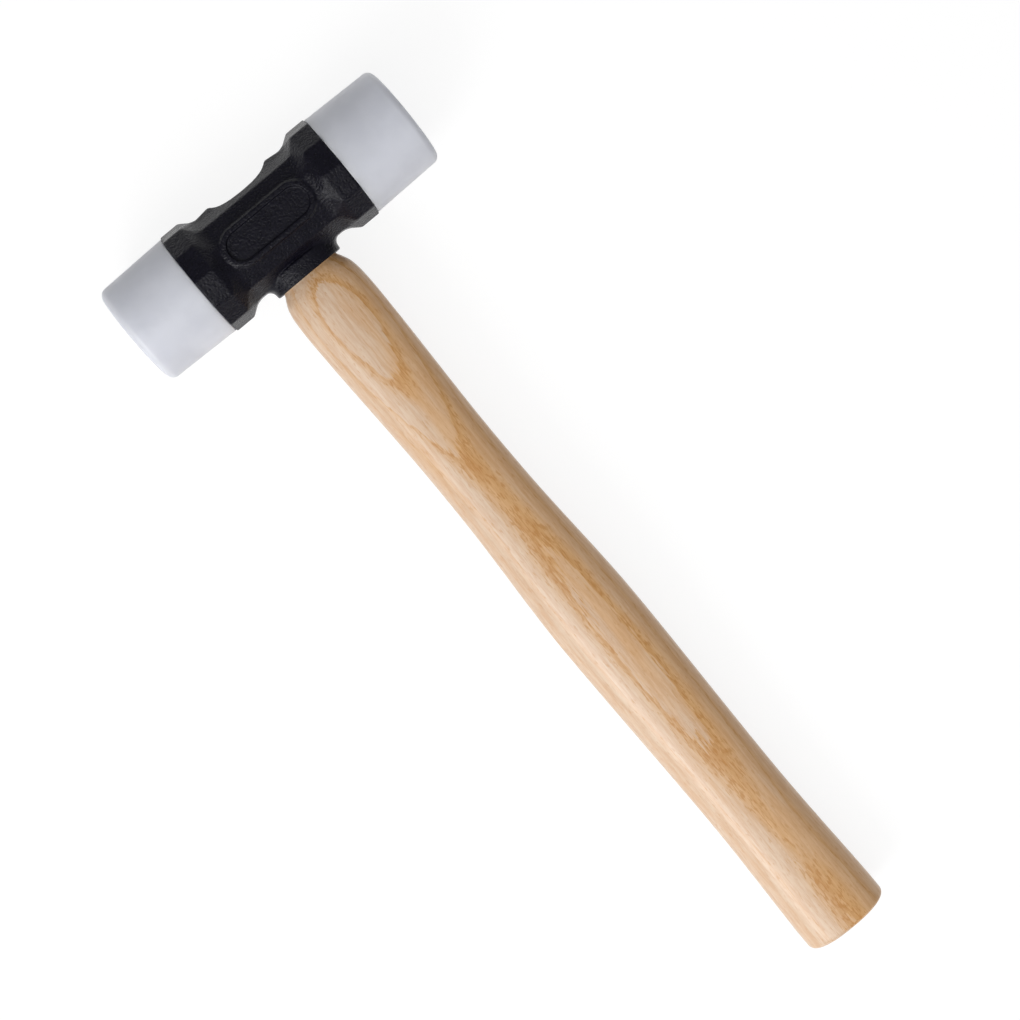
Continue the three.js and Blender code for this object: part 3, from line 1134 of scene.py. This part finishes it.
@dataclass(frozen=True)
class WoodFigure:
    """Ring-porous wood as a node group, from the number of the growth ring and a place in millimetres.

    Early is the porous wood at the start of a ring, Line its dark first rows, Fleck the long pores in
    it, Fibre the fine streaks along the grain, and Tone the slow change of colour, with painted light
    across the handle: cooler at the left as painted sheen, warmer at the right as painted shade. Parts
    of a ring are in years, and waves are counted to a millimetre.
    """

    drift_waves: Triple = (0.13, 0.014, 0.13)
    drift: float = 0.06
    jag_waves: Triple = (1.6, 0.12, 1.6)
    jag: float = 0.07
    early_start: float = 0.94
    early_end: float = 0.5
    line_end: float = 0.14
    year_pace: float = 1.3
    year_shift: float = -0.5
    good_year: float = 0.6
    poor_year_strength: float = 0.3
    # Painted sheen: the rings fade toward the left side of the handle, as if lit there.
    left_span: Span = (-12.0, 3.0)
    left_strength: float = 0.35
    pore_waves: Triple = (2.2, 0.36, 2.2)
    pore_threshold: Span = (0.6, 0.5)
    pore_edge: float = 0.09
    fibre_waves: Triple = (1.1, 0.07, 1.1)
    fibre_detail: float = 4.0
    fibre_fineness: float = 0.8
    tone_waves: Triple = (0.16, 0.02, 0.16)
    # Painted light across the handle: the tone runs cooler at the left as painted sheen, warmer at the right
    # as painted shade.
    sheen_and_shade_span: Span = (-9.0, 13.0)
    sheen_and_shade_tone: Span = (-0.22, 0.3)
    detail: float = 2.0

    def strength(
        self, bench: Bench, ring: bpy.types.NodeSocket, across: bpy.types.NodeSocket
    ) -> bpy.types.NodeSocket:
        """How dark a ring is: a sine of its number makes poor years, and painted sheen pales the left side.

        Args:
            bench: the bench of the group.
            ring: the number of the ring.
            across: the place across the handle.

        Returns:
            Shares from 0 to 1.
        """
        years = bench.sum_up("FLOOR", bench.sum_up("ADD", ring, 1 - self.early_start))
        growth = bench.sum_up("SINE", bench.sum_up("MULTIPLY_ADD", years, self.year_pace, self.year_shift))
        grown = bench.remap(growth, -1.0, self.good_year, self.poor_year_strength, 1.0)
        # Painted sheen: rings are weaker at the left side of the handle.
        return bench.sum_up("MULTIPLY", grown, bench.remap(across, *self.left_span, self.left_strength))

    def build(self) -> bpy.types.NodeTree:
        """Builds the group.

        Returns:
            The group.
        """
        names = ("Early", "Line", "Fleck", "Fibre", "Tone")
        group = new_group("wood_figure", {"Ring": VALUE, "Place": VECTOR}, dict.fromkeys(names, VALUE))
        bench = Bench(group)
        given = bench.add("NodeGroupInput").outputs
        place = given["Place"]
        ring = given["Ring"]
        for waves, most in ((self.drift_waves, self.drift), (self.jag_waves, self.jag)):
            wander = bench.remap(bench.noise(place, waves, self.detail), 0.2, 0.8, -most, most)
            ring = bench.sum_up("ADD", ring, wander)
        across = bench.add("ShaderNodeSeparateXYZ", {0: place}).outputs["X"]
        strength = self.strength(bench, ring, across)
        year = bench.sum_up("FRACT", ring)
        fading = bench.remap(year, 0.0, self.early_end, 1.0, 0.0)
        starting = bench.remap(year, self.early_start, 1.0)
        early = bench.sum_up("MULTIPLY", bench.sum_up("MAXIMUM", fading, starting), strength)
        line = bench.sum_up("MULTIPLY", bench.remap(year, 0.0, self.line_end, 1.0, 0.0), strength)
        threshold = bench.remap(early, 0.0, 1.0, *self.pore_threshold)
        full = bench.sum_up("ADD", threshold, self.pore_edge)
        fleck = bench.remap(bench.noise(place, self.pore_waves, self.detail), threshold, full)
        fibre = bench.noise(place, self.fibre_waves, self.fibre_detail, self.fibre_fineness)
        # Painted sheen and shade: the tone shifts from cool at the handle's left to warm at its right.
        sheen_and_shade = bench.remap(across, *self.sheen_and_shade_span, *self.sheen_and_shade_tone)
        tone = bench.sum_up("ADD", bench.noise(place, self.tone_waves, self.detail), sheen_and_shade)
        bench.add("NodeGroupOutput", dict(zip(names, (early, line, fleck, fibre, tone))))
        return group


@dataclass(frozen=True)
class FineRelief:
    """Skin of castings and mouldings as a node group: coarse and fine noise as a height, and a slow tone."""

    grain_detail: float = 3.0
    coarse_waves: Triple = (0.45, 0.45, 0.45)
    coarse_detail: float = 2.0
    coarse_share: float = 0.35
    tone_waves: Triple = (0.09, 0.09, 0.09)
    tone_detail: float = 3.0

    def build(self) -> bpy.types.NodeTree:
        """Builds the group.

        Returns:
            The group.
        """
        group = new_group("fine_relief", {"Place": VECTOR, "Grain": VALUE}, {"Height": VALUE, "Tone": VALUE})
        bench = Bench(group)
        given = bench.add("NodeGroupInput").outputs
        inputs = {"Vector": given["Place"], "Scale": given["Grain"], "Detail": self.grain_detail}
        grains = bench.add("ShaderNodeTexNoise", inputs).outputs["Fac"]
        coarse = bench.noise(given["Place"], self.coarse_waves, self.coarse_detail)
        height = bench.sum_up("MULTIPLY_ADD", coarse, self.coarse_share, grains)
        tone = bench.noise(given["Place"], self.tone_waves, self.tone_detail)
        bench.add("NodeGroupOutput", {"Height": height, "Tone": tone})
        return group


def new_finish(name: str) -> tuple[bpy.types.Material, Bench]:
    """Starts a node material with nothing in it.

    Args:
        name: the material's name.

    Returns:
        The material, and a bench on its tree.
    """
    material = bpy.data.materials.new(name)
    material.use_nodes = True
    material.node_tree.nodes.clear()
    return material, Bench(material.node_tree)


def close_finish(bench: Bench, inputs: dict[str | int, Any]) -> None:
    """Ends a material with one principled surface that takes the given inputs."""
    surface = bench.add("ShaderNodeBsdfPrincipled", inputs)
    bench.add("ShaderNodeOutputMaterial", {"Surface": surface.outputs[0]})


@dataclass(frozen=True)
class BlackPaint:
    """Satin black paint over cast grain, with bare iron on the machined threads."""

    paint: Colour = (0.0036, 0.0034, 0.0074)
    paint_thin: Colour = (0.0067, 0.0062, 0.0126)
    iron: Colour = (0.24, 0.23, 0.22)
    roughness: Span = (0.2, 0.3)
    grain_per_mm: float = 1.6
    grain_depth: float = 0.27
    thin_span: Span = (0.5, 0.85)
    specular: float = 0.19

    def build(self, relief: bpy.types.NodeTree) -> bpy.types.Material:
        """Builds the material.

        Args:
            relief: the group for cast skin.

        Returns:
            The material.
        """
        material, bench = new_finish("black_paint")
        inputs = {"Place": bench.tool_place(), "Grain": self.grain_per_mm}
        skin = bench.add("ShaderNodeGroup", inputs, node_tree=relief)
        bare = bench.add("ShaderNodeAttribute", attribute_name="machined").outputs["Fac"]
        thin = bench.remap(skin.outputs["Height"], *self.thin_span)
        colour = bench.blend(bare, bench.blend(thin, self.paint, self.paint_thin), self.iron)
        close_finish(
            bench,
            {
                "Base Color": colour,
                "Metallic": bare,
                "Roughness": bench.remap(skin.outputs["Tone"], *TONE_SPAN, *self.roughness),
                "Specular IOR Level": self.specular,
                "Normal": bench.bump(skin.outputs["Height"], self.grain_depth),
            },
        )
        return material


@dataclass(frozen=True)
class WhiteNylon:
    """Moulded white nylon, a little translucent, with a faint mottle and a few dark specks."""

    light: Colour = (0.735, 0.75, 0.81)
    dark: Colour = (0.68, 0.695, 0.755)
    speck: Colour = (0.2, 0.19, 0.18)
    roughness: Span = (0.36, 0.46)
    scatter_mm: float = 6.0
    scatter_share: float = 0.7
    speck_per_mm: float = 0.13
    speck_size: Span = (0.022, 0.0132)
    speck_share: float = 0.16
    grain_per_mm: float = 1.2
    grain_depth: float = 0.012

    def build(self, relief: bpy.types.NodeTree) -> bpy.types.Material:
        """Builds the material.

        Args:
            relief: the group for moulded skin.

        Returns:
            The material.
        """
        material, bench = new_finish("white_nylon")
        where = bench.tool_place()
        inputs = {"Place": where, "Grain": self.grain_per_mm}
        skin = bench.add("ShaderNodeGroup", inputs, node_tree=relief)
        cells = bench.add("ShaderNodeTexVoronoi", {"Vector": where, "Scale": self.speck_per_mm})
        near = bench.remap(cells.outputs["Distance"], *self.speck_size)
        chosen = bench.add("ShaderNodeSeparateColor", {0: cells.outputs["Color"]}).outputs[0]
        rare = bench.sum_up("LESS_THAN", chosen, self.speck_share)
        cloud = bench.remap(skin.outputs["Tone"], *TONE_SPAN)
        body = bench.blend(cloud, self.light, self.dark)
        close_finish(
            bench,
            {
                "Base Color": bench.blend(bench.sum_up("MULTIPLY", near, rare), body, self.speck),
                "Roughness": bench.remap(skin.outputs["Tone"], *TONE_SPAN, *self.roughness),
                "Subsurface Weight": self.scatter_share,
                "Subsurface Radius": (1.0, 1.0, 1.0),
                "Subsurface Scale": self.scatter_mm * MM,
                "Normal": bench.bump(skin.outputs["Height"], self.grain_depth),
            },
        )
        return material


@dataclass(frozen=True)
class Wood:
    """Ring-porous wood: pale late wood, warmer early wood with long pores, and its lacquer."""

    name: str
    late: Colour
    late_warm: Colour
    early: Colour
    pore: Colour
    roughness: Span
    coat: float
    coat_roughness: float
    pore_depth: float
    across_rings: Triple | None = None
    early_share: float = 0.8
    line_share: float = 0.46
    fleck_share: Span = (0.36, 0.7)
    streak_span: Span = (0.65, 0.35)
    streak_share: float = 0.4
    specular: float = 0.3

    def build(self, figure: bpy.types.NodeTree) -> bpy.types.Material:
        """Builds the material from the ring attribute, or from flat rings where across_rings is given.

        Args:
            figure: the group for ring-porous wood.

        Returns:
            The material.
        """
        material, bench = new_finish(self.name)
        where = bench.tool_place()
        if self.across_rings is None:
            ring = bench.add("ShaderNodeAttribute", attribute_name="ring").outputs["Fac"]
        else:
            inputs = {0: where, 1: self.across_rings}
            ring = bench.add("ShaderNodeVectorMath", inputs, operation="DOT_PRODUCT").outputs["Value"]
        wood = bench.add("ShaderNodeGroup", {"Ring": ring, "Place": where}, node_tree=figure)
        early, fleck = wood.outputs["Early"], wood.outputs["Fleck"]
        ground = bench.blend(bench.remap(wood.outputs["Tone"], *TONE_SPAN), self.late, self.late_warm)
        banded = bench.blend(bench.sum_up("MULTIPLY", early, self.early_share), ground, self.early)
        rows = bench.sum_up("MULTIPLY", wood.outputs["Line"], self.line_share)
        pores = bench.sum_up("MULTIPLY", fleck, bench.remap(early, 0.0, 1.0, *self.fleck_share))
        pored = bench.blend(pores, bench.blend(rows, banded, self.pore), self.pore)
        streak = bench.remap(wood.outputs["Fibre"], *self.streak_span, 0.0, self.streak_share)
        close_finish(
            bench,
            {
                "Base Color": bench.blend(streak, pored, self.pore),
                "Roughness": bench.remap(fleck, 0.0, 1.0, *self.roughness),
                "Specular IOR Level": self.specular,
                "Coat Weight": self.coat,
                "Coat Roughness": self.coat_roughness,
                "Normal": bench.bump(bench.sum_up("SUBTRACT", 1.0, pores), self.pore_depth),
            },
        )
        return material


@dataclass(frozen=True)
class WedgeSteel:
    """Plain mild steel with marks of the hammer and fine draw lines."""

    light: Colour = (0.56, 0.56, 0.57)
    dark: Colour = (0.36, 0.35, 0.34)
    roughness: Span = (0.3, 0.5)
    line_waves: Triple = (6.0, 0.6, 0.5)
    line_depth: float = 0.02
    stain_waves: Triple = (0.5, 0.5, 0.5)
    stain_span: Span = (0.4, 0.7)

    def build(self) -> bpy.types.Material:
        """Builds the material.

        Returns:
            The material.
        """
        material, bench = new_finish("wedge_steel")
        where = bench.tool_place()
        lines = bench.noise(where, self.line_waves, 2.0)
        stain = bench.remap(bench.noise(where, self.stain_waves, 3.0), *self.stain_span)
        close_finish(
            bench,
            {
                "Base Color": bench.blend(stain, self.light, self.dark),
                "Metallic": 1.0,
                "Roughness": bench.remap(stain, 0.0, 1.0, *self.roughness),
                "Normal": bench.bump(lines, self.line_depth),
            },
        )
        return material


ASH = Wood(
    name="lacquered_ash",
    late=(0.79, 0.605, 0.45),
    late_warm=(0.79, 0.51, 0.29),
    early=(0.76, 0.45, 0.195),
    pore=(0.56, 0.25, 0.062),
    roughness=(0.4, 0.5),
    coat=0.4,
    coat_roughness=0.3,
    pore_depth=0.03,
)
HARDWOOD = Wood(
    name="wedge_hardwood",
    late=(0.42, 0.25, 0.12),
    late_warm=(0.36, 0.2, 0.09),
    early=(0.28, 0.14, 0.055),
    pore=(0.14, 0.065, 0.025),
    roughness=(0.6, 0.75),
    coat=0.0,
    coat_roughness=0.3,
    pore_depth=0.05,
    across_rings=(0.25, 0.0, 0.4),
)


# Studio


@dataclass(frozen=True)
class SoftBox:
    """Lamp: its place in metres on the tool's axes, its width and length in metres, and its power."""

    name: str
    place: Triple
    size: Span
    watts: float

    def build(self, aim: Triple) -> None:
        """Hangs the lamp so that it faces a point, with its long side along the handle.

        Args:
            aim: the point, in metres on the tool's axes.
        """
        light = bpy.data.lights.new(self.name, "AREA")
        light.shape = "RECTANGLE"
        light.size, light.size_y = self.size
        light.energy = self.watts
        at = np.array(self.place)
        back = unit(at - np.array(aim))
        across = unit(np.cross([0, 1, 0], back))
        axes = [across, np.cross(back, across), back]
        linked(self.name, light).matrix_world = TOOL.matrix(axes, at / MM)


@dataclass(frozen=True)
class Studio:
    """White table, dim surroundings, a large soft box overhead, a small one on the left and a weak fill."""

    floor_half: float = 8.0
    floor_glow: float = 0.87
    floor_shade: float = 0.19
    floor_white: float = 0.85
    horizon: float = 0.26
    zenith: float = 0.25
    horizon_height: float = 0.3
    aim: Triple = (0.0, -0.11, 0.0)
    lamps: tuple[SoftBox, ...] = (
        SoftBox("key", (-0.6, -0.52, 1.02), (1.3, 1.1), 8.1),
        SoftBox("side", (-0.73, -0.4, 0.62), (0.36, 0.4), 3.7),
        SoftBox("fill", (0.69, 0.69, 0.39), (0.5, 0.5), 0.9),
    )

    def floor(self) -> None:
        """Lays the floor: it glows white to the eye and in reflections, and still takes the shadow."""
        side = self.floor_half
        mesh = bpy.data.meshes.new("floor")
        corners = [(-side, -side, 0), (side, -side, 0), (side, side, 0), (-side, side, 0)]
        mesh.from_pydata(corners, [], [(0, 1, 2, 3)])
        material, bench = new_finish("white_table")
        rays = bench.add("ShaderNodeLightPath").outputs
        seen = bench.sum_up("MAXIMUM", rays["Is Camera Ray"], rays["Is Glossy Ray"])
        seen = bench.sum_up("MAXIMUM", seen, rays["Is Transmission Ray"])
        glow = bench.add("ShaderNodeEmission", {"Strength": self.floor_glow})
        shade = bench.add("ShaderNodeBsdfDiffuse", {"Color": opaque((self.floor_shade,) * 3)})
        shown = bench.add("ShaderNodeAddShader", {0: glow.outputs[0], 1: shade.outputs[0]})
        plain = bench.add("ShaderNodeBsdfDiffuse", {"Color": opaque((self.floor_white,) * 3)})
        mix = bench.add("ShaderNodeMixShader", {0: seen, 1: plain.outputs[0], 2: shown.outputs[0]})
        bench.add("ShaderNodeOutputMaterial", {"Surface": mix.outputs[0]})
        finish_with(mesh, material)
        linked("floor", mesh)

    def surroundings(self) -> None:
        """Sets the world: a grey that falls a little from the horizon up to the zenith."""
        world = bpy.data.worlds.new("studio")
        bpy.context.scene.world = world
        world.use_nodes = True
        world.node_tree.nodes.clear()
        bench = Bench(world.node_tree)
        direction = bench.add("ShaderNodeTexCoord").outputs["Generated"]
        height = bench.add("ShaderNodeSeparateXYZ", {0: direction}).outputs["Z"]
        level = bench.remap(height, 0.0, self.horizon_height, self.horizon, self.zenith)
        background = bench.add("ShaderNodeBackground", {"Color": (1, 1, 1, 1), "Strength": level})
        bench.add("ShaderNodeOutputWorld", {"Surface": background.outputs[0]})

    def build(self) -> None:
        """Sets up floor, surroundings and lamps, and plain view settings."""
        self.floor()
        self.surroundings()
        for lamp in self.lamps:
            lamp.build(self.aim)
        bpy.context.scene.view_settings.view_transform = "Standard"


@dataclass(frozen=True)
class Portrait:
    """Camera of the photograph, on the tool's axes: its stand, its view, its roll and its focal length."""

    stand: Triple = (1.02, -36.8, 667.48)
    look: Triple = (-0.0003, -0.1133, -0.9936)
    roll: float = 39.74
    focus_pixels: float = 2185.1
    sensor: float = 36.0
    clip: Span = (0.01, 100.0)

    def build(self) -> None:
        """Makes the camera and hands it to the scene."""
        data = bpy.data.cameras.new("portrait")
        data.sensor_width = self.sensor
        data.lens = self.focus_pixels * self.sensor / PICTURE_SIDE
        data.clip_start, data.clip_end = self.clip
        look = unit(np.array(self.look))
        level = unit(np.cross(look, [0, 1, 0]))
        rise = np.cross(level, look)
        roll = math.radians(self.roll)
        right = math.cos(roll) * level - math.sin(roll) * rise
        up = math.sin(roll) * level + math.cos(roll) * rise
        camera = linked("portrait", data)
        camera.matrix_world = TOOL.matrix([right, up, -look], np.array(self.stand))
        bpy.context.scene.camera = camera


def dress_nodes(finishes: dict[str, bpy.types.Material]) -> None:
    """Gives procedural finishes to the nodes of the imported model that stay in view."""
    for node, finish in finishes.items():
        finish_with(frame["nodes"][node].data, finish)
        log.info("%s keeps its own shape", node)


def main() -> None:
    """Builds the studio, the camera and the pieces in order."""
    logging.basicConfig(level=logging.INFO, format="%(name)s: %(message)s")
    Portrait().build()
    Studio().build()
    figure = WoodFigure().build()
    relief = FineRelief().build()
    Casting().build(BlackPaint().build(relief))
    nylon = WhiteNylon().build(relief)
    for end in End:
        NylonFace().build(end, nylon)
    Handle().build(ASH.build(figure))
    steel = WedgeSteel().build()
    hardwood = HARDWOOD.build(figure)
    dress_nodes({"wood_wedge": hardwood, "left_steel_wedge": steel, "right_steel_wedge": steel})


if __name__ == "__main__":
    main()
